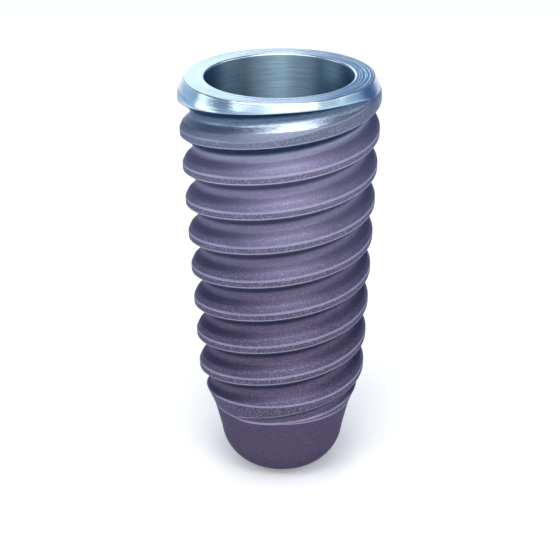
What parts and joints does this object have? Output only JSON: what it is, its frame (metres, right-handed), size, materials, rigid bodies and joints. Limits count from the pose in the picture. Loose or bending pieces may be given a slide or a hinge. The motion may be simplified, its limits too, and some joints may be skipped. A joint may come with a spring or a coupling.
{
  "type": "dental implant",
  "caption": "Tapered screw-shaped dental implant with a bevelled collar, a double-start thread, a rounded end and a stepped socket with a hexagon and a screw bore.",
  "frame": {"origin": "centre of the flat platform, where the bone thread's axis meets it", "axes": "+Z along the implant's axis, out of the socket's mouth; -Y is the side that the picture shows"},
  "size_m": [0.0041, 0.004, 0.0087],
  "materials": {
    "titanium": "satin turned collar, blasted thread"
  },
  "bodies": {
    "root": {"implant_body": "titanium"}
  },
  "joints": []
}
